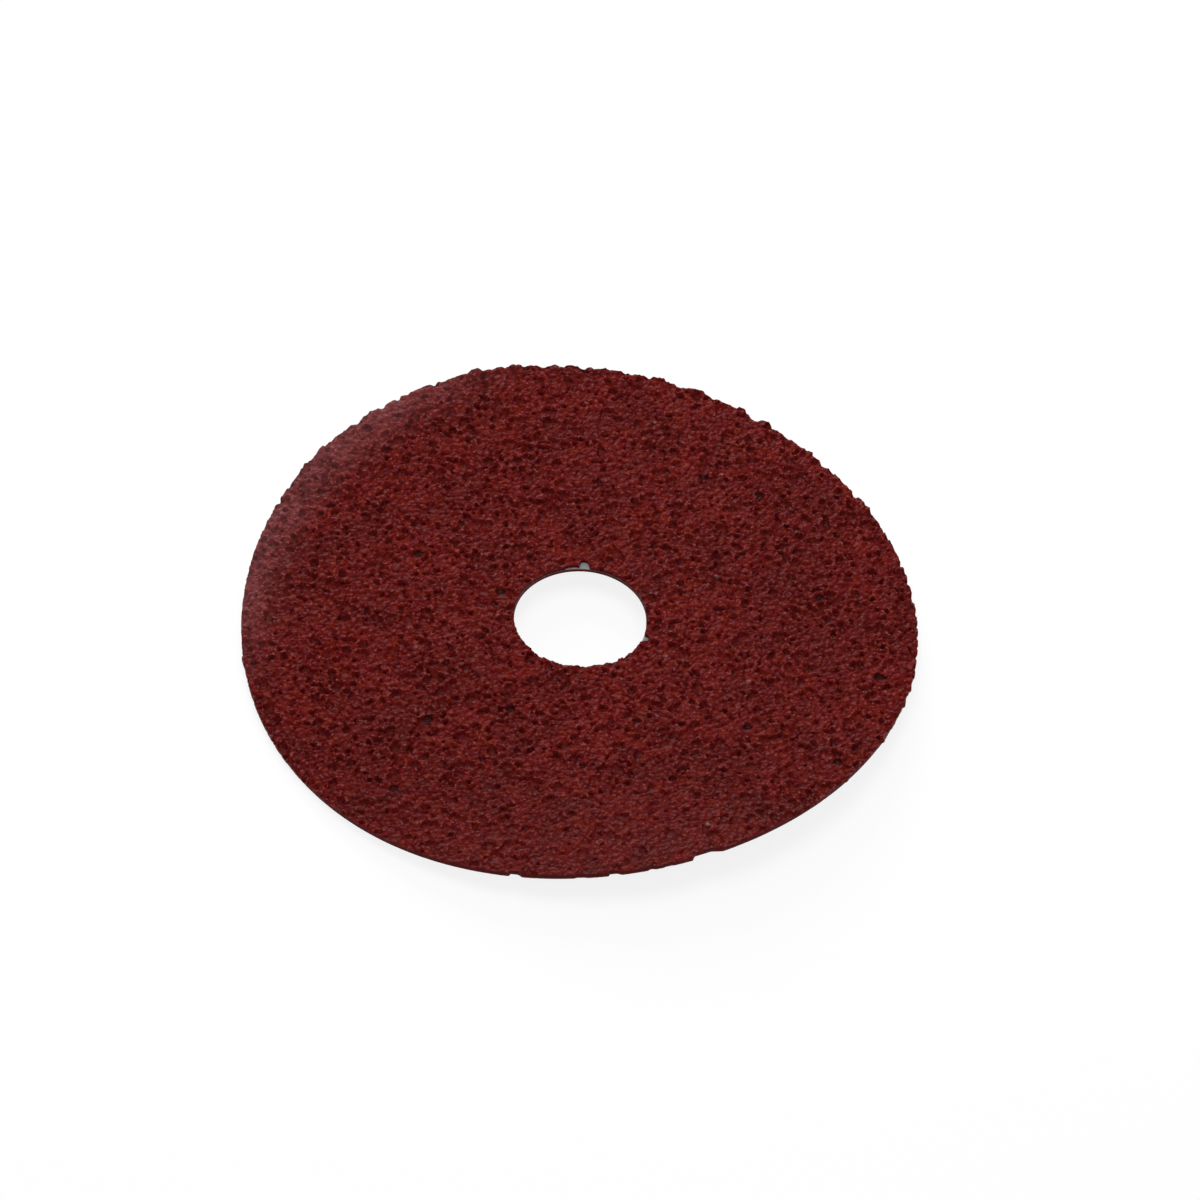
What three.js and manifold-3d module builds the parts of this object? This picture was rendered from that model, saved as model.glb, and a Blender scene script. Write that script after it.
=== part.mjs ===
// A fibre sanding disc for an angle grinder, in two pieces: a sheet of grey vulcanised fibre, and
// the coat of red-brown abrasive grit that is bonded to its upper side. The disc has curled in
// storage, and lies grit side up on the two lowest points of its rim.
// Millimetres, +Z up. The origin is on the floor under the middle of the bore.
import * as THREE from "three";
import { mergeVertices } from "three/addons/utils/BufferGeometryUtils.js";
import Module from "manifold-3d";

// Outline of the punched disc
const discDiameter = 115;
const boreDiameter = 22.23;
const fibreThickness = 0.8;

// Curl of the sheet: a flat land round the bore, where the flange grips, then a droop all round
// and a saddle that lifts the rim at both ends of the high axis and lowers it across
const landWidth = 5;
const rimDroop = 1;
const rimSaddle = 3;
const highAxisDegrees = 121.5;

// Abrasive coat: a layer of binder, and grains that stand up out of it
const binderThickness = 0.35;
const grainHeight = 0.6;
const grainSpacing = 1.75;
const grainScatter = 0.3;
const edgeCrumble = 0.3;
const grainSeed = 5;

// Two chips in the coat at the edge of the bore, where the bare fibre shows
const farChipDegrees = 88.6;
const farChipWidth = 2.1;
const farChipDepth = 1.7;
const sideChipDegrees = -18.5;
const sideChipWidth = 2;
const sideChipDepth = 1.6;
const chipOverrun = 1;

// Steps of the faceted sheet, along its rim and from ring to ring
const fibreStep = 3.75;
const fibreRingGap = 7;

const discRadius = discDiameter / 2;
const boreRadius = boreDiameter / 2;
const landRadius = boreRadius + landWidth;
const highAxis = THREE.MathUtils.degToRad(highAxisDegrees);
const fibreUnderside = rimDroop + rimSaddle;
const coatUnderside = fibreUnderside + fibreThickness;
// A multiple of four, so that the rim has a point at each of its highest and lowest places
const fibrePoints = 4 * Math.round((Math.PI * discDiameter) / (4 * fibreStep));
const fibreBands = Math.round((discRadius - landRadius) / fibreRingGap);

// How far the sheet stands above its flat land, at a radius and at a share of a turn from the
// high axis.
function curl(radius, share) {
  const reach = Math.max(0, radius - landRadius) / (discRadius - landRadius);
  return reach * reach * (rimSaddle * Math.cos(4 * Math.PI * share) - rimDroop);
}

// A point of the curled disc: height is counted from the floor to the same layer in the land.
function onDisc(radius, share, height) {
  const angle = highAxis + 2 * Math.PI * share;
  return new THREE.Vector3(
    radius * Math.cos(angle),
    radius * Math.sin(angle),
    height + curl(radius, share),
  );
}

// A closed loop of points round the bore. Its first point is shift steps past the high axis.
function loop(count, shift, place) {
  const points = [];
  for (let k = 0; k < count; k += 1) {
    points.push(place((k + shift) / count));
  }
  return { points, count, shift };
}

// The triangles between two loops. Each one takes the next side of the loop that is behind, so
// that loops with different numbers of points meet without a gap.
function stitch(triangles, near, far) {
  let i = 0;
  let j = 0;
  while (i < near.count || j < far.count) {
    const nearPoint = near.points[i % near.count];
    const farPoint = far.points[j % far.count];
    const nearMiddle = (i + near.shift + 0.5) / near.count;
    const farMiddle = (j + far.shift + 0.5) / far.count;
    if (j === far.count || (i < near.count && nearMiddle < farMiddle)) {
      i += 1;
      triangles.push(nearPoint, farPoint, near.points[i % near.count]);
    } else {
      j += 1;
      triangles.push(nearPoint, farPoint, far.points[j % far.count]);
    }
  }
}

// A ring-shaped solid from the loops of its section: outwards over the top, down the rim,
// inwards underneath and up the bore.
function ringSolid(loops) {
  const triangles = [];
  loops.forEach((near, k) => {
    stitch(triangles, near, loops[(k + 1) % loops.length]);
  });
  return mergeVertices(new THREE.BufferGeometry().setFromPoints(triangles));
}

// The loops of one face of the fibre sheet, from the bore to the rim. The coat's underside has
// the same points, so that the two pieces meet face to face.
function sheetLoops(height) {
  const radii = [boreRadius];
  for (let k = 0; k <= fibreBands; k += 1) {
    radii.push(landRadius + ((discRadius - landRadius) * k) / fibreBands);
  }
  return radii.map((radius, k) => {
    const shift = ((radii.length - 1 - k) % 2) / 2;
    return loop(fibrePoints, shift, (share) => onDisc(radius, share, height));
  });
}

function fibreGeometry() {
  const top = sheetLoops(coatUnderside);
  const bottom = sheetLoops(fibreUnderside).reverse();
  return ringSolid([...top, ...bottom]);
}

// The loops of the grit, from the bore to the rim. Each point is a grain tip or a hollow of its
// own height, a little off its place in the row, and the two edge rows crumble back unevenly.
function gritLoops() {
  THREE.MathUtils.seededRandom(grainSeed);
  const scatter = (most) => most * (THREE.MathUtils.seededRandom() - 0.5);
  const rowGap = grainSpacing * Math.sin(Math.PI / 3);
  const rows = Math.round((discRadius - boreRadius) / rowGap);
  const loops = [];
  for (let row = 0; row <= rows; row += 1) {
    const radius = boreRadius + ((discRadius - boreRadius) * row) / rows;
    const count = Math.round((2 * Math.PI * radius) / grainSpacing);
    const place = (share) => {
      let grainRadius = radius + scatter(grainScatter);
      if (row === 0) {
        grainRadius = boreRadius + edgeCrumble * THREE.MathUtils.seededRandom();
      }
      if (row === rows) {
        grainRadius = discRadius - edgeCrumble * THREE.MathUtils.seededRandom();
      }
      const grainShare = share + scatter(grainScatter) / (2 * Math.PI * radius);
      const rise = binderThickness + grainHeight * THREE.MathUtils.seededRandom();
      return onDisc(grainRadius, grainShare, coatUnderside + rise);
    };
    loops.push(loop(count, 0, place));
  }
  return loops;
}

// The material that a chip takes away: a round-ended notch, open to the bore and cut right
// through the coat.
function chipGeometry({ degrees, width, depth }) {
  const outline = new THREE.Shape();
  outline.moveTo(-chipOverrun, -width / 2);
  outline.lineTo(depth / 2, -width / 2);
  outline.quadraticCurveTo(depth, -width / 2, depth, 0);
  outline.quadraticCurveTo(depth, width / 2, depth / 2, width / 2);
  outline.lineTo(-chipOverrun, width / 2);
  const coatHeight = binderThickness + grainHeight;
  const notch = new THREE.ExtrudeGeometry(outline, {
    depth: coatHeight + 2 * chipOverrun,
    bevelEnabled: false,
    curveSegments: 3,
  });
  notch.translate(boreRadius, 0, coatUnderside - chipOverrun);
  notch.rotateZ(THREE.MathUtils.degToRad(degrees));
  notch.deleteAttribute("normal");
  notch.deleteAttribute("uv");
  return mergeVertices(notch);
}

const wasm = await Module();
wasm.setup();

function solidFrom(geometry) {
  const vertProperties = geometry.getAttribute("position").array;
  const triVerts = new Uint32Array(geometry.index.array);
  return new wasm.Manifold(new wasm.Mesh({ numProp: 3, vertProperties, triVerts }));
}

function geometryFrom(solid) {
  const mesh = solid.getMesh();
  const geometry = new THREE.BufferGeometry();
  geometry.setAttribute("position", new THREE.BufferAttribute(mesh.vertProperties, 3));
  geometry.setIndex(new THREE.BufferAttribute(mesh.triVerts, 1));
  return geometry;
}

function coatGeometry() {
  const chips = [
    { degrees: farChipDegrees, width: farChipWidth, depth: farChipDepth },
    { degrees: sideChipDegrees, width: sideChipWidth, depth: sideChipDepth },
  ];
  const underside = sheetLoops(coatUnderside).reverse();
  let coat = solidFrom(ringSolid([...gritLoops(), ...underside]));
  for (const chip of chips) {
    coat = coat.subtract(solidFrom(chipGeometry(chip)));
  }
  return geometryFrom(coat);
}

const fibreMaterial = new THREE.MeshStandardMaterial({
  color: "#857e7a",
  roughness: 0.75,
  metalness: 0,
});
const gritMaterial = new THREE.MeshStandardMaterial({
  color: "#5a1d1b",
  roughness: 0.5,
  metalness: 0,
  flatShading: true,
});

const fibreBacking = new THREE.Mesh(fibreGeometry(), fibreMaterial);
fibreBacking.name = "fibre_backing";
const abrasiveCoat = new THREE.Mesh(coatGeometry(), gritMaterial);
abrasiveCoat.name = "abrasive_coat";

const sandingDisc = new THREE.Group();
sandingDisc.add(fibreBacking, abrasiveCoat);

export default sandingDisc;
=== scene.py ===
# A fibre sanding disc: a curled sheet of grey vulcanised fibre with red-brown grit bonded on top.
import math

import bpy
import numpy as np
from mathutils import Matrix, Vector, noise
from mathutils.geometry import delaunay_2d_cdt


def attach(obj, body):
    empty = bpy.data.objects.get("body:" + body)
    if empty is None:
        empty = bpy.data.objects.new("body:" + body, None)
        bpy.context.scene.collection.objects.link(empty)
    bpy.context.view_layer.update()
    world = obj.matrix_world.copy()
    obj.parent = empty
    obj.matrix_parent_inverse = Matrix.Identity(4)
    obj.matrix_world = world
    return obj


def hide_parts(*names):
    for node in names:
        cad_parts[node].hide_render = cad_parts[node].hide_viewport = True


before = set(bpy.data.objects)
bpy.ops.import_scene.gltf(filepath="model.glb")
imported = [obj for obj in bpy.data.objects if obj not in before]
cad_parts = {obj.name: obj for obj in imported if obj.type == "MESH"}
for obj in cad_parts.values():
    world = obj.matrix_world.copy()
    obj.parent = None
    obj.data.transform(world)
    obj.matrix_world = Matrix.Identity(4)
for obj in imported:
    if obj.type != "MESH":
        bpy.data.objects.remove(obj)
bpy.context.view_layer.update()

# The fibre sheet
# A hard grey board of vulcanised paper, punched out as a ring with a plain bore. It has curled in
# storage: the rim droops all round, and rises at both ends of one axis. The grit is bonded to its
# top and hangs a little over its rim.
mm = 0.001
disc_radius = 57.5 * mm
bore_radius = 11.115 * mm
sheet_thickness = 0.8 * mm
land_width = 5 * mm
rim_droop = 1 * mm
rim_saddle = 3 * mm
high_axis = math.radians(121.5)
sheet_underside = rim_droop + rim_saddle
sheet_top = sheet_underside + sheet_thickness
cut_inset = 0.04 * mm
grit_overhang = 0.22 * mm
edge_round = 0.3 * mm
edge_bevel = 0.3
punch_burr = 0.06 * mm
rim_waver = 0.03 * mm
rim_fray = 0.02 * mm
sheet_points = 1080
sheet_rings = 15
sheet_seed = 3
sharp_edge = math.radians(35)

# How far the bore's radius is worn all round, how much more on its worn side, which side that is
# and how far the wear runs, both in degrees.
bore_wear = 0.1 * mm
side_wear = 0.4 * mm
worn_side = 322
worn_run = 28


def curl(radius, angle):
    """How far the sheet stands above the flat land round its bore."""
    land = bore_radius + land_width
    reach = np.maximum(radius - land, 0) / (disc_radius - land)
    return reach**2 * (rim_saddle * np.cos(2 * (angle - high_axis)) - rim_droop)


# Flakes torn out of the punched edge on its near side: where each starts and how long it is, in
# degrees round the disc, and how deep it goes in millimetres. A flake starts with a steep break and
# runs out more gently, each over a share of its length.
edge_tears = (
    (290.7, 5.4, 0.78),
    (276.4, 2.2, 0.42),
    (283.0, 1.3, 0.22),
    (285.8, 1.8, 0.12),
    (270.8, 2.2, 0.15),
    (259.7, 2.3, 0.5),
)
tear_break = 0.1
tear_run_out = 0.35


def torn_rim(angle):
    """The radius of the punched rim at each angle, in metres."""
    inset = np.zeros_like(angle)
    for start, length, depth in edge_tears:
        along = (np.degrees(angle) - start) % 360 / length
        broken = np.clip(np.minimum(along / tear_break, (1 - along) / tear_run_out), 0, 1)
        inset = np.maximum(inset, depth * broken)
    return disc_radius - cut_inset - inset * mm


def degrees_off(angle, middle):
    """How many degrees each angle is from a direction, either way round."""
    return np.abs((np.degrees(angle) - middle + 180) % 360 - 180)


def faded(reach):
    """Full round a middle, and fading to nothing a little past a reach of 1."""
    return np.clip(1.3 - reach, 0, 1)


def worn_bore(angle):
    """The radius of the bore at each angle: a little wide all round, and more on its worn side."""
    wear = faded(degrees_off(angle, worn_side) / worn_run)
    return bore_radius + bore_wear + side_wear * wear


class Value:
    """A number worked out in a material: sums with it add the maths nodes."""

    def __init__(self, finish, socket):
        self.finish = finish
        self.socket = socket

    def maths(self, operation, *terms):
        return self.finish.node("Math", {"operation": operation}, dict(enumerate(terms)))

    def __add__(self, other):
        return self.maths("ADD", self, other)

    def __radd__(self, other):
        return self.maths("ADD", other, self)

    def __sub__(self, other):
        return self.maths("SUBTRACT", self, other)

    def __rsub__(self, other):
        return self.maths("SUBTRACT", other, self)

    def __mul__(self, other):
        return self.maths("MULTIPLY", self, other)

    def __rmul__(self, other):
        return self.maths("MULTIPLY", other, self)

    def __pow__(self, other):
        return self.maths("POWER", self, other)


class Finish:
    """The shader of one material, built up node by node."""

    def __init__(self, name):
        self.material = bpy.data.materials.new(name)
        self.material.use_nodes = True
        self.tree = self.material.node_tree
        self.tree.nodes.clear()

    def node(self, kind, settings=None, sockets=None, out=0):
        made = self.tree.nodes.new("ShaderNode" + kind)
        for name, value in (settings or {}).items():
            setattr(made, name, value)
        for name, value in (sockets or {}).items():
            if isinstance(value, Value):
                self.tree.links.new(value.socket, made.inputs[name])
            else:
                made.inputs[name].default_value = value
        return Value(self, made.outputs[out]) if made.outputs else made

    def spread(self, value, low, high, to_low=0.0, to_high=1.0):
        """value from low to high, stretched smoothly to a new range."""
        ends = {"Value": value, 1: low, 2: high, 3: to_low, 4: to_high}
        return self.node("MapRange", {"interpolation_type": "SMOOTHSTEP"}, ends)

    def blend(self, share, first, second):
        return self.node("Mix", {"data_type": "RGBA"}, {0: share, 6: first, 7: second}, 2)

    def noise(self, place, scale, detail=3, roughness=0.55):
        sockets = {"Vector": place, "Scale": scale, "Detail": detail, "Roughness": roughness}
        return self.node("TexNoise", None, sockets)

    def finished(self, **shader):
        sockets = {name.replace("_", " "): value for name, value in shader.items()}
        surface = self.node("BsdfPrincipled", None, sockets)
        self.node("OutputMaterial", None, {"Surface": surface})
        return self.material


def new_piece(name, places, faces, material):
    """A mesh object from its places in metres and its faces."""
    mesh = bpy.data.meshes.new(name)
    mesh.from_pydata(places, [], faces)
    mesh.update()
    mesh.materials.append(material)
    made = bpy.data.objects.new(name, mesh)
    bpy.context.scene.collection.objects.link(made)
    return made


def fibre_finish():
    """Grey board mottled with pulp. Its sheared edges are painted dark, partly their own darker
    colour and partly painted shade, and red resin has run over them.
    """
    finish = Finish("vulcanised_fibre")
    place = finish.node("TexCoord", None, None, 3)
    pulp = finish.noise(place, 900, 5, 0.6)
    cloud = finish.noise(place, 70, 3)
    pale = (0.25, 0.25, 0.25, 1)
    deep = (0.17, 0.165, 0.165, 1)
    face = finish.blend(finish.spread(pulp * 0.6 + cloud * 0.4, 0.38, 0.62), deep, pale)
    normal = finish.node("NewGeometry", None, None, 1)
    upright = finish.node("SeparateXYZ", None, {0: normal}, 2)
    flat_face = finish.spread(upright * upright, 0.2, 0.7)
    # The sheared edge colour is partly the board's own dark edge and partly painted shade
    sheared_and_shaded = (0.028, 0.012, 0.0115, 1)
    resin = (0.115, 0.0095, 0.009, 1)
    below_top = finish.node("Attribute", {"attribute_name": "below_top"}, None, 2)
    dry = finish.spread(below_top + pulp * 0.5 + cloud * 0.5, 0.95, 1.3)
    colour = finish.blend(flat_face, finish.blend(dry, resin, sheared_and_shaded), face)
    relief = finish.node("Bump", None, {"Strength": 0.35, "Distance": 0.05 * mm, "Height": pulp})
    rough = finish.spread(pulp, 0.3, 0.7, 0.62, 0.82)
    return finish.finished(
        Base_Color=colour, Roughness=rough, Normal=relief, Specular_IOR_Level=0.08
    )


def fibre_sheet():
    """The punched and curled ring, as rings of points round its section."""
    count = sheet_points
    angles = np.arange(count) * 2 * math.pi / count
    rim = torn_rim(angles) - grit_overhang
    bore = worn_bore(angles)
    rng = np.random.default_rng(sheet_seed)
    flutter = np.cumsum(rng.normal(size=count))
    flutter -= np.linspace(flutter[0], flutter[-1], count)
    rim = rim - rim_waver * (flutter - flutter.min()) / np.ptp(flutter)
    rim = rim - rng.uniform(0, rim_fray, count)
    shares = np.linspace(0, 1, sheet_rings)
    rings = []
    depths = []

    def ring(share, inset, height):
        radius = bore + (rim - bore) * share
        radius = radius + inset * (1 - 2 * share)
        x, y = radius * np.cos(angles), radius * np.sin(angles)
        rings.append(np.column_stack((x, y, height + curl(radius, angles))))
        depths.append(np.full(count, (sheet_top - height) / mm))

    top, bottom = sheet_top, sheet_underside
    bevel = edge_round * edge_bevel
    ring(0, 0, bottom + edge_round)
    ring(0, 0, top - punch_burr)
    ring(0, punch_burr, top)
    for share in shares[1:-1]:
        ring(share, 0, top)
    ring(1, punch_burr, top)
    ring(1, 0, top - punch_burr)
    ring(1, 0, bottom + edge_round)
    ring(1, bevel, bottom + bevel)
    ring(1, edge_round, bottom)
    for share in shares[-2:0:-1]:
        ring(share, 0, bottom)
    ring(0, edge_round, bottom)
    ring(0, bevel, bottom + bevel)
    places = np.concatenate(rings)
    faces = []
    for k in range(len(rings)):
        near, far = k * count, (k + 1) % len(rings) * count
        for i in range(count):
            j = (i + 1) % count
            faces.append((near + i, far + i, far + j, near + j))
    sheet = new_piece("fibre_sheet", places.tolist(), faces, fibre_finish())
    held = sheet.data.attributes.new("below_top", "FLOAT", "POINT")
    held.data.foreach_set("value", np.concatenate(depths).astype(np.float32))
    sheet.data.shade_smooth()
    sheet.data.set_sharp_from_angle(angle=sharp_edge)
    return sheet


sheet = fibre_sheet()
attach(sheet, "root")
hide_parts("fibre_backing")

# The grit coat
# Coarse grains of abrasive set in resin on the sheet, with a second resin coat over them.
# It is one rough crust with a pit wherever a grain is missing, and it ends at the punched edges.
# Two chips at the bore bare the fibre.
mesh_step = 0.374 * mm
mesh_looseness = 0.18
mesh_edge_gap = 0.15 * mm
underside_step = 4 * mm
underside_edge_gap = 1 * mm
same_spot = 1e-5
coat_seed = 11

# The grains: how far apart their tips are, how high they stand above the sheet, how far a flank
# falls away over one spacing, how steeply a grain may lean, and how low and high the grit may reach
grain_spacing = 0.8 * mm
grain_looseness = 0.24
grain_top = (0.5 * mm, 0.82 * mm)
grain_flank = 0.6 * mm
grain_lean = 0.45
resin_ripple = 0.04 * mm
lowest_grit = 0.08 * mm
grit_ceiling = 7.7 * mm

# The pits: the share of places that have one, more in some patches than in others, their radius,
# most of them small, how far they are stretched, and their walls, floor and raised lip. At its
# own radius a pit has this share of its depth, and the deepest ones have a little more.
pit_spacing = 1.5 * mm
pit_looseness = 0.42
pit_share = 0.62
pit_patchiness = 0.45
patch_size = 7 * mm
pit_size = (0.02 * mm, 0.9 * mm)
pit_smallness = 2.2
pit_stretch = (0.65, 1.5)
pit_wall = 0.3 * mm
pit_brink = 0.6
deep_pit_brink = 0.7
pit_floor = 0.16 * mm
pit_floor_grit = 0.12
pit_lip = 0.09 * mm
pit_raggedness = 0.12 * mm

# The grit is flatter towards the near side: from where, over what width, and how much it takes
# from the pits and the grains
calm_from = 30 * mm
calm_width = 22 * mm
calm_pits = 0.35
calm_grains = 0.3
calm_level = np.mean(grain_top) - 0.08 * mm

# The coat's edges, and its two chips at the bore, the far one with a shallow shoulder: their
# directions in degrees, widths and depths
rim_step = 0.4 * mm
bore_step = 0.3 * mm
rim_looseness = 0.25
bore_looseness = 0.2
edge_crumble = 0.11 * mm
least_crumble = 0.1
edge_fold = 0.8 * mm
rim_band = 1.4 * mm
chips = (
    (88.9, 1.9 * mm, 1.5 * mm),
    (98.5, 2.4 * mm, 0.4 * mm),
    (-21.5, 1.5 * mm, 1.1 * mm),
)

# Grains that stand out of the rim, nearly all on the far side: where each starts and how long it
# is, in degrees round the disc, and its size in millimetres. A grain rises steeply over a share of
# its length and runs out over the rest. It stands out by one share of its size and up by another.
rim_grain_start = 0.12
rim_grain_end = 1.1
rim_grain_out = 0.6
rim_grain_up = 0.8
rim_grains = (
    (31.2, 4.2, 0.65),
    (47.1, 2.2, 0.6),
    (56.3, 2.8, 0.75),
    (61.6, 2.6, 0.7),
    (69.3, 3.4, 0.62),
    (76.6, 3.0, 0.6),
    (86.9, 2.2, 0.4),
    (101.6, 5.5, 0.5),
    (109.0, 4.0, 0.8),
    (130.3, 1.8, 0.45),
    (141.5, 3.0, 0.62),
    (146.3, 2.4, 0.5),
    (189.1, 2.0, 0.55),
    (322.0, 1.4, 0.35),
    (333.5, 1.6, 0.4),
    (343.0, 1.6, 0.4),
    (347.0, 1.4, 0.45),
    (350.1, 3.4, 0.4),
)
# Gaps between them where the grit has crumbled away: middle and width in degrees, and depth.
rim_gaps = (
    (0.2, 1.2, 0.25),
    (2.8, 1.0, 0.2),
    (5.9, 1.0, 0.25),
    (9.6, 1.6, 0.4),
    (13.4, 1.2, 0.3),
    (17.8, 1.2, 0.3),
    (36.0, 1.2, 0.35),
    (44.3, 1.6, 0.4),
    (59.8, 1.8, 0.45),
    (79.6, 1.0, 0.3),
    (91.1, 1.4, 0.4),
    (97.9, 1.8, 0.35),
    (117.8, 1.0, 0.3),
    (125.0, 1.0, 0.3),
    (128.5, 1.2, 0.35),
    (134.0, 1.4, 0.4),
    (155.7, 1.0, 0.35),
    (326.6, 1.0, 0.2),
    (330.9, 1.2, 0.25),
    (336.4, 1.0, 0.2),
    (339.8, 1.2, 0.25),
    (345.2, 1.2, 0.3),
    (352.2, 1.0, 0.25),
    (355.2, 1.2, 0.3),
    (357.6, 1.0, 0.2),
)

# The deepest pits, as x, y and radius in millimetres, and the painted glints, as x, y and how pale
# they are. A pit gets painted shade the further it lies below the mean of the points round it,
# which is taken in so many rounds, and the deepest ones get still more painted shade.
deep_pits = (
    (50.8, -10.4, 0.8),
    (-24.9, -23.5, 0.75),
    (40.7, 7.3, 0.7),
    (-30.0, -37.9, 0.7),
    (-27.9, 13.0, 0.75),
    (44.0, -31.1, 0.75),
    (-11.1, -21.2, 0.7),
    (28.8, -23.7, 0.7),
    (-13.6, 5.0, 0.75),
    (20.3, 33.7, 0.7),
    (30.1, 30.6, 0.75),
)
painted_glints = (
    (23.3, 34.8, 0.8),
    (28.8, -13.3, 0.4),
    (22.5, -46.2, 0.5),
    (14.7, -8.1, 0.35),
    (11.6, 46.0, 0.3),
    (23.0, 10.4, 0.3),
    (-27.5, -7.9, 0.3),
    (-50.2, 11.0, 0.25),
)
glint_size = 0.3 * mm
mean_rounds = 4
deep_pit_shade = 0.8


def rim_relief(angle):
    """How far grains stand out of the rim at each angle, and how far it has crumbled."""
    out = np.zeros_like(angle)
    for start, length, size in rim_grains:
        along = (np.degrees(angle) - start) % 360 / length
        tooth = np.minimum(along / rim_grain_start, rim_grain_end - along)
        out = np.maximum(out, size * np.clip(tooth, 0, 1))
    gone = np.zeros_like(angle)
    for middle, width, depth in rim_gaps:
        gone = np.maximum(gone, depth * faded(degrees_off(angle, middle) / width * 2))
    return out * mm, gone * mm


class Scatter:
    """Places on a loose triangular lattice that covers the disc."""

    def __init__(self, spacing, looseness, rng):
        self.spacing = spacing
        self.row = spacing * math.sin(math.pi / 3)
        self.half = int(disc_radius / self.row) + 4
        count = 2 * self.half + 1
        self.shift = rng.uniform(-looseness, looseness, (count, count, 2)) * spacing
        self.shape = count, count

    def place(self, i, j):
        x = (i - self.half + (j - self.half) % 2 / 2) * self.spacing
        y = (j - self.half) * self.row
        return np.stack((x, y), axis=-1) + self.shift[i, j]

    def places(self):
        i, j = np.indices(self.shape)
        return self.place(i, j).reshape(-1, 2)

    def near(self, points):
        """The places round each point: which they are, and the way from each to the point."""
        j = np.rint(points[:, 1] / self.row).astype(int)
        i = np.rint(points[:, 0] / self.spacing - j % 2 / 2).astype(int)
        for right in range(-2, 3):
            for up in range(-2, 3):
                which = i + right + self.half, j + up + self.half
                yield which, points - self.place(*which)


def coat_outline(rng):
    """The torn edges of the coat: the rim, and the bore with its chips."""
    count = round(2 * math.pi * disc_radius / rim_step)
    loose = rng.uniform(-rim_looseness, rim_looseness, count)
    angle = (np.arange(count) + loose) * 2 * math.pi / count
    out, gone = rim_relief(angle)
    crumbled = rng.uniform(least_crumble, 1, count) ** 3 * edge_crumble
    radius = torn_rim(angle) - crumbled + out * rim_grain_out - gone
    rim = np.column_stack((radius * np.cos(angle), radius * np.sin(angle)))
    # No grain stands out past the punched size where the disc is widest
    rim = rim.clip(cut_inset - disc_radius, disc_radius - cut_inset)
    count = round(2 * math.pi * bore_radius / bore_step)
    loose = rng.uniform(-bore_looseness, bore_looseness, count)
    angle = (np.arange(count) + loose) * 2 * math.pi / count
    worn = worn_bore(angle)
    radius = worn + rng.uniform(least_crumble, 1, count) ** 2 * edge_crumble
    for degrees, width, depth in chips:
        off = (angle - math.radians(degrees) + math.pi) % (2 * math.pi) - math.pi
        across = np.abs(off) * bore_radius / (width / 2)
        notch = worn + depth * np.sqrt(np.maximum(1 - across**4, 0.02))
        radius = np.where(across < 1, notch, radius)
    bore = np.column_stack((radius * np.cos(angle), radius * np.sin(angle)))
    return rim, bore


def inside(points, rim, bore, gap):
    """The points that lie inside the outline by more than a gap."""
    angle = np.arctan2(points[:, 1], points[:, 0])
    radius = np.hypot(points[:, 0], points[:, 1])

    def reach(loop):
        turn = np.arctan2(loop[:, 1], loop[:, 0])
        return np.interp(angle, turn, np.hypot(loop[:, 0], loop[:, 1]), period=2 * math.pi)

    return points[(radius < reach(rim) - gap) & (radius > reach(bore) + gap)]


def joined(points, rim, bore):
    """Triangles over the points, within the rim's loop and outside the bore's."""
    places = np.concatenate((rim, bore, points))
    rim_end = len(rim)
    bore_end = len(rim) + len(bore)
    edges = []
    for first, end in ((0, rim_end), (rim_end, bore_end)):
        edges += [(k, k + 1 if k + 1 < end else first) for k in range(first, end)]
    spots = [Vector(place) for place in places / mm]
    found = delaunay_2d_cdt(spots, edges, [], 0, same_spot, False)
    if len(found[0]) != len(places):
        raise RuntimeError("the coat's outline crosses itself")
    corners = np.array(found[2])
    keep = np.ones(len(corners), bool)
    for first, end, counterclockwise in ((0, rim_end, True), (rim_end, bore_end, False)):
        on_loop = ((corners >= first) & (corners < end)).all(axis=1)
        a, b, c = corners.T
        forward = (a < b).astype(int) + (b < c) + (c < a) == 2
        keep &= ~on_loop | (forward == counterclockwise)
    return places, corners[keep]


def on_sheet(places, rise=0):
    """The same places as points in space, that far above the sheet's curled top."""
    radius = np.hypot(places[:, 0], places[:, 1])
    angle = np.arctan2(places[:, 1], places[:, 0])
    return np.column_stack((places, sheet_top + curl(radius, angle) + rise))


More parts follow.
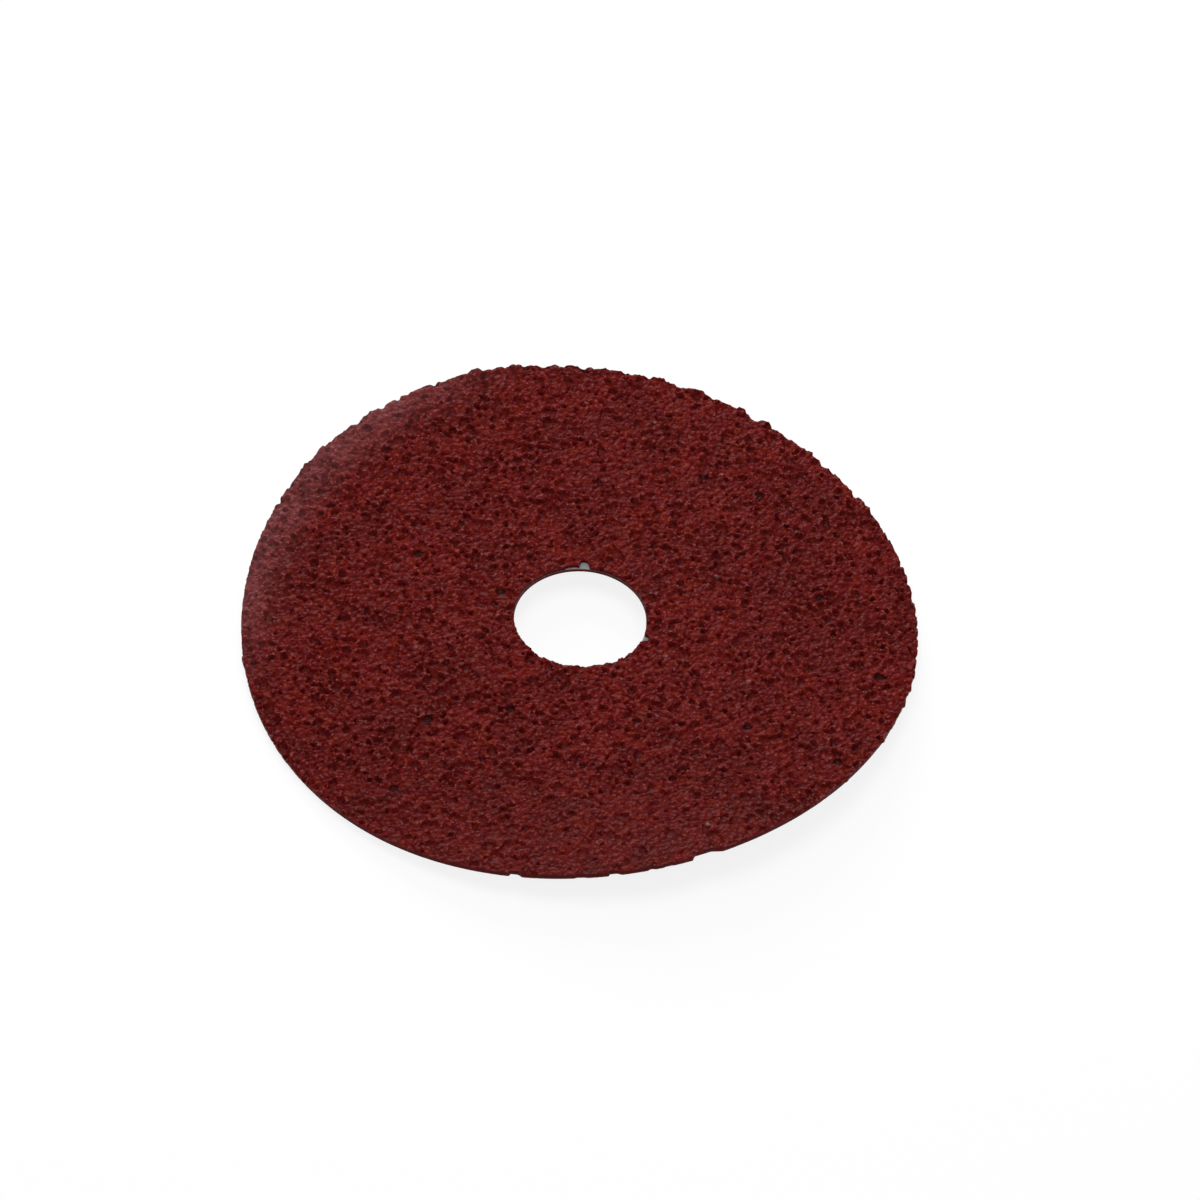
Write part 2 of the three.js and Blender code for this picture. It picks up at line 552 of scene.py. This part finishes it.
def crust(points, rng):
    """How far the grit rises above the sheet at each point, and the shade of its grain."""
    grains = Scatter(grain_spacing, grain_looseness, rng)
    top = rng.uniform(*grain_top, grains.shape)
    lean = rng.uniform(-grain_lean, grain_lean, grains.shape + (2,))
    shade = rng.uniform(size=grains.shape)
    highest = np.full(len(points), -1.0)
    tone = np.full(len(points), 0.5)
    for which, way in grains.near(points):
        away = np.hypot(way[:, 0], way[:, 1]) / grain_spacing
        rise = top[which] + (lean[which] * way).sum(axis=1) - grain_flank * away**2
        above = rise > highest
        highest = np.where(above, rise, highest)
        tone = np.where(above, shade[which], tone)
    pits = Scatter(pit_spacing, pit_looseness, rng)
    spots = pits.places()
    patchy = [noise.noise((x / patch_size, y / patch_size, 0)) for x, y in spots.tolist()]
    calm = np.clip((-spots[:, 1] - calm_from) / calm_width, 0, 1)
    share = pit_share + pit_patchiness * np.array(patchy) - calm_pits * calm
    size = pit_size[0] + np.ptp(pit_size) * rng.uniform(size=pits.shape) ** pit_smallness
    size = np.where(rng.uniform(size=pits.shape) < share.reshape(pits.shape), size, -1)
    stretch = rng.uniform(*pit_stretch, pits.shape)
    turn = rng.uniform(0, math.pi, pits.shape)
    depth = np.zeros(len(points))
    lip = np.zeros(len(points))
    ragged = rng.uniform(-1, 1, points.shape) * pit_raggedness
    for which, way in pits.near(points + ragged):
        along = way[:, 0] * np.cos(turn[which]) + way[:, 1] * np.sin(turn[which])
        across = way[:, 1] * np.cos(turn[which]) - way[:, 0] * np.sin(turn[which])
        away = np.hypot(along / stretch[which], across * stretch[which])
        wall = np.clip((size[which] - away) / pit_wall + pit_brink, 0, 1)
        depth = np.maximum(depth, wall)
        brim = 1 - np.abs(away - size[which] - pit_wall) / pit_wall
        lip = np.maximum(lip, np.clip(brim, 0, 1) * (size[which] > pit_wall / 2))
    for x, y, radius in deep_pits:
        away = np.hypot(points[:, 0] - x * mm, points[:, 1] - y * mm) - radius * mm
        depth = np.maximum(depth, np.clip(deep_pit_brink - away / pit_wall, 0, 1))
    floor = np.minimum(highest, pit_floor) + rng.uniform(0, pit_floor_grit, len(points)) * mm
    rise = (highest + lip * pit_lip) * (1 - depth) + floor * depth
    rise = rise + rng.uniform(-1, 1, len(points)) * resin_ripple
    calm = np.clip((-points[:, 1] - calm_from) / calm_width, 0, 1)
    rise = rise + (calm_level - rise) * calm_grains * calm
    radius = np.hypot(points[:, 0], points[:, 1])
    out, gone = rim_relief(np.arctan2(points[:, 1], points[:, 0]))
    at_rim = np.clip(1 - (disc_radius - radius) / rim_band, 0, 1)
    rise = np.maximum(rise + (out * rim_grain_up - gone) * at_rim, lowest_grit)
    room = grit_ceiling - on_sheet(points)[:, 2]
    return np.minimum(rise, room), tone


def neighbours_mean(values, corners, rounds):
    """Each point's value, blurred along the mesh's edges."""
    start = np.concatenate([corners[:, k] for k in (0, 1, 2, 1, 2, 0)])
    end = np.concatenate([corners[:, k] for k in (1, 2, 0, 0, 1, 2)])
    number = np.bincount(end, minlength=len(values))
    for _ in range(rounds):
        values = np.bincount(end, values[start], len(values)) / number
    return values


def lay_flat(mesh, places, under, top_faces, bottom_faces):
    """Map the coat from above: its cut edges folded out, and its underside small in a corner."""
    which = np.empty(len(mesh.loops), int)
    mesh.loops.foreach_get("vertex_index", which)
    flat = places[which]
    top = 3 * top_faces
    edges = 3 * (top_faces + bottom_faces)
    radius = np.hypot(flat[edges:, 0], flat[edges:, 1])
    fold = np.where(radius > disc_radius / 2, edge_fold, -edge_fold) * (which[edges:] >= under)
    flat[edges:] *= (1 + fold / radius)[:, None]
    large, small, corner = 0.49, 0.07, 0.08
    spread = 0.5 + flat * large / (disc_radius + edge_fold)
    spread[top:edges] = corner + flat[top:edges] * (-small, small) / disc_radius
    seen_from_above = mesh.uv_layers.new(name="OFBake")
    seen_from_above.data.foreach_set("uv", spread.ravel().astype(np.float32))


def grit_coat():
    """The crust as one closed mesh: its rough top, its cut edges and its flat underside."""
    rng = np.random.default_rng(coat_seed)
    rim, bore = coat_outline(rng)
    points = Scatter(mesh_step, mesh_looseness, rng).places()
    places, corners = joined(inside(points, rim, bore, mesh_edge_gap), rim, bore)
    rise, tone = crust(places, rng)
    # How far each point lies below its neighbours, the listed deep pits deeper still: it sets the
    # painted shade in the pits
    hollow = (neighbours_mean(rise, corners, mean_rounds) - rise) / mm
    for x, y, radius in deep_pits:
        away = np.hypot(places[:, 0] - x * mm, places[:, 1] - y * mm) / (radius * mm)
        hollow = hollow + deep_pit_shade * faded(away)
    sparse = Scatter(underside_step, 0, rng).places()
    sparse = inside(sparse, rim, bore, underside_edge_gap)
    below, below_corners = joined(sparse, rim, bore)
    under = len(places)
    faces = corners.tolist() + (below_corners[:, ::-1] + under).tolist()
    for first, end, step in ((0, len(rim), 1), (len(rim), len(rim) + len(bore), -1)):
        for k in range(first, end):
            after = first + (k + 1 - first) % (end - first)
            a, b = (k, after)[::step]
            faces.append((b, a, a + under, b + under))
    points = np.concatenate((on_sheet(places, rise), on_sheet(below)))
    coat = new_piece("grit_coat", points.tolist(), faces, grit_finish())
    # Painted glints: a few small spots of the crust are marked to be coloured pale
    glint_mark = np.zeros(under)
    for x, y, paleness in painted_glints:
        away = np.hypot(places[:, 0] - x * mm, places[:, 1] - y * mm)
        glint_mark = np.maximum(glint_mark, paleness * faded(away / glint_size))
    for name, values in (("hollow", hollow), ("tone", tone), ("glint_mark", glint_mark)):
        held = coat.data.attributes.new(name, "FLOAT", "POINT")
        padded = np.zeros(len(points), np.float32)
        padded[:under] = values
        held.data.foreach_set("value", padded)
    lay_flat(coat.data, np.concatenate((places, below)), under, len(corners), len(below_corners))
    return coat


def grit_finish():
    """Red-brown resin over grains, with painted shade in the pits, painted highlights on the tips,
    painted glints on a few grains, and dust and painted sheen at the rim.
    """
    finish = Finish("abrasive_grit")
    place = finish.node("TexCoord", None, None, 3)
    hollow = finish.node("Attribute", {"attribute_name": "hollow"}, None, 2)
    tone = finish.node("Attribute", {"attribute_name": "tone"}, None, 2)
    grit = finish.noise(place, 2400, 3, 0.6)
    patch = finish.noise(place, 700, 2)
    cloud = finish.noise(place, 130, 4, 0.6)
    crimson = (0.106, 0.0026, 0.0044, 1)
    rust = (0.130, 0.0066, 0.0027, 1)
    colour = finish.blend(finish.spread(patch + tone * 0.3, 0.42, 0.85), crimson, rust)
    shade = (0.035, 0.0016, 0.0014, 1)
    x = finish.node("SeparateXYZ", None, {0: place}, 0)
    y = finish.node("SeparateXYZ", None, {0: place}, 1)
    dull = finish.spread(tone * 0.35 + grit * 0.4 + cloud * 1.5, 0.85, 1.4, 0.45, 0)
    dull = dull + finish.spread(0 - y, 18 * mm, 50 * mm, 0, 0.16)
    colour = finish.blend(dull, colour, shade)
    # Painted shade: the pits are darkened by how far they lie below their surroundings, the deepest
    # nearly black
    painted_pit_shade = (0.02, 0.0012, 0.0009, 1)
    colour = finish.blend(finish.spread(hollow, 0.05, 0.3, 0, 0.85), colour, painted_pit_shade)
    painted_deep_shade = (0.009, 0.0016, 0.0014, 1)
    colour = finish.blend(finish.spread(hollow, 0.5, 1.0, 0, 0.75), colour, painted_deep_shade)
    # Painted highlight: the tips between the pits are made pale pink, standing in for the light
    # they catch
    painted_tip_highlight = (0.33, 0.092, 0.09, 1)
    tips = finish.spread(0 - hollow, 0.0, 0.16) * finish.spread(grit, 0.49, 0.7)
    colour = finish.blend(tips * 0.58, colour, painted_tip_highlight)
    # Painted glints: small pale spots on a few grains
    glint_mark = finish.node("Attribute", {"attribute_name": "glint_mark"}, None, 2)
    glint_colour = (0.62, 0.42, 0.4, 1)
    colour = finish.blend(glint_mark * 0.9, colour, glint_colour)
    # Pale dust and a painted sheen lie along one stretch of the rim, on the left and a little to
    # the back
    radius = (x * x + y * y) ** 0.5
    toward = (y * 0.5 - x * 0.86) * (1 / disc_radius)
    veil = finish.spread(radius, 47 * mm, 58 * mm) * finish.spread(toward, 0.6, 0.97)
    dust_and_sheen = (0.33, 0.14, 0.15, 1)
    colour = finish.blend(veil * finish.spread(cloud, 0.3, 0.7, 0.12, 0.3), colour, dust_and_sheen)
    relief = finish.node(
        "Bump", None, {"Strength": 0.7, "Distance": 0.08 * mm, "Height": grit}
    )
    return finish.finished(
        Base_Color=colour, Roughness=0.45, Normal=relief, Specular_IOR_Level=0.04
    )


coat = grit_coat()
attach(coat, "root")
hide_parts("abrasive_coat")

# The floor and the light
# A plain white table in a soft white room. One broad lamp stands low behind the disc and rakes its
# grit, and another hangs above it. The table looks white by its own colour, and keeps the shadow.
floor_size = 3.0
floor_white = 0.9
floor_glow = 0.85
room_light = 0.35
floor_mesh = bpy.data.meshes.new("floor")
half = floor_size / 2
floor_mesh.from_pydata(
    [(-half, -half, 0), (half, -half, 0), (half, half, 0), (-half, half, 0)], [], [(0, 1, 2, 3)]
)
floor = bpy.data.objects.new("floor", floor_mesh)
bpy.context.scene.collection.objects.link(floor)
floor_finish = Finish("white_table")
seen = floor_finish.node("LightPath", None, None, "Is Camera Ray")
mirrored = floor_finish.node("LightPath", None, None, "Is Glossy Ray")
through = floor_finish.node("LightPath", None, None, "Is Transmission Ray")
white = (floor_white, floor_white, floor_white, 1)
lit = floor_finish.node("BsdfDiffuse", None, {"Color": white})
glow = floor_finish.node("Emission", None, {"Color": (1, 1, 1, 1), "Strength": 1.0})
shown = (seen + mirrored + through) * floor_glow
both = floor_finish.node("MixShader", None, {0: shown, 1: lit, 2: glow})
floor_finish.node("OutputMaterial", None, {"Surface": both})
floor_mesh.materials.append(floor_finish.material)

world = bpy.data.worlds.new("room")
bpy.context.scene.world = world
world.use_nodes = True
background = world.node_tree.nodes["Background"]
background.inputs["Color"].default_value = (1, 1, 1, 1)
background.inputs["Strength"].default_value = room_light


def lamp(name, azimuth, elevation, distance, size, power):
    """A square area lamp that looks at the disc's middle."""
    light = bpy.data.lights.new(name, "AREA")
    light.size = size
    light.energy = power
    made = bpy.data.objects.new(name, light)
    a, e = math.radians(azimuth), math.radians(elevation)
    way = Vector((math.sin(a) * math.cos(e), -math.cos(a) * math.cos(e), math.sin(e)))
    made.location = way * distance
    made.rotation_euler = way.to_track_quat("Z", "Y").to_euler()
    bpy.context.scene.collection.objects.link(made)


lamp("low_lamp", azimuth=192, elevation=24, distance=1.0, size=0.4, power=7)
lamp("top_lamp", azimuth=195, elevation=84, distance=1.0, size=0.6, power=6)

# The camera
# It looks down on the disc from a step away, as the photograph does, and is rolled a little.
camera_distance = 1500 * mm
camera_elevation = math.radians(48.45)
camera_roll = math.radians(-2.07)
photo_side = 1200
pixels_per_mm = 5.9
disc_in_photo = (580.2, 616.9)
looked_at = Vector((0, 0, 5.2 * mm))
sensor = 36.0

right = Vector((1, 0, 0))
up = Vector((0, math.sin(camera_elevation), math.cos(camera_elevation)))
back = Vector((0, -math.cos(camera_elevation), math.sin(camera_elevation)))
across = right * math.cos(camera_roll) - up * math.sin(camera_roll)
upward = right * math.sin(camera_roll) + up * math.cos(camera_roll)
off_middle = (
    (disc_in_photo[0] - photo_side / 2) * mm / pixels_per_mm,
    (photo_side / 2 - disc_in_photo[1]) * mm / pixels_per_mm,
)
camera_data = bpy.data.cameras.new("camera")
camera_data.sensor_width = sensor
camera_data.lens = pixels_per_mm / mm * camera_distance / photo_side * sensor
camera_data.clip_start = 0.01
camera_data.clip_end = 10
camera = bpy.data.objects.new("camera", camera_data)
turn = Matrix((across, upward, back)).transposed().to_4x4()
place = looked_at + back * camera_distance - across * off_middle[0] - upward * off_middle[1]
camera.matrix_world = Matrix.Translation(place) @ turn
bpy.context.scene.collection.objects.link(camera)
bpy.context.scene.camera = camera
bpy.context.scene.view_settings.view_transform = "Standard"
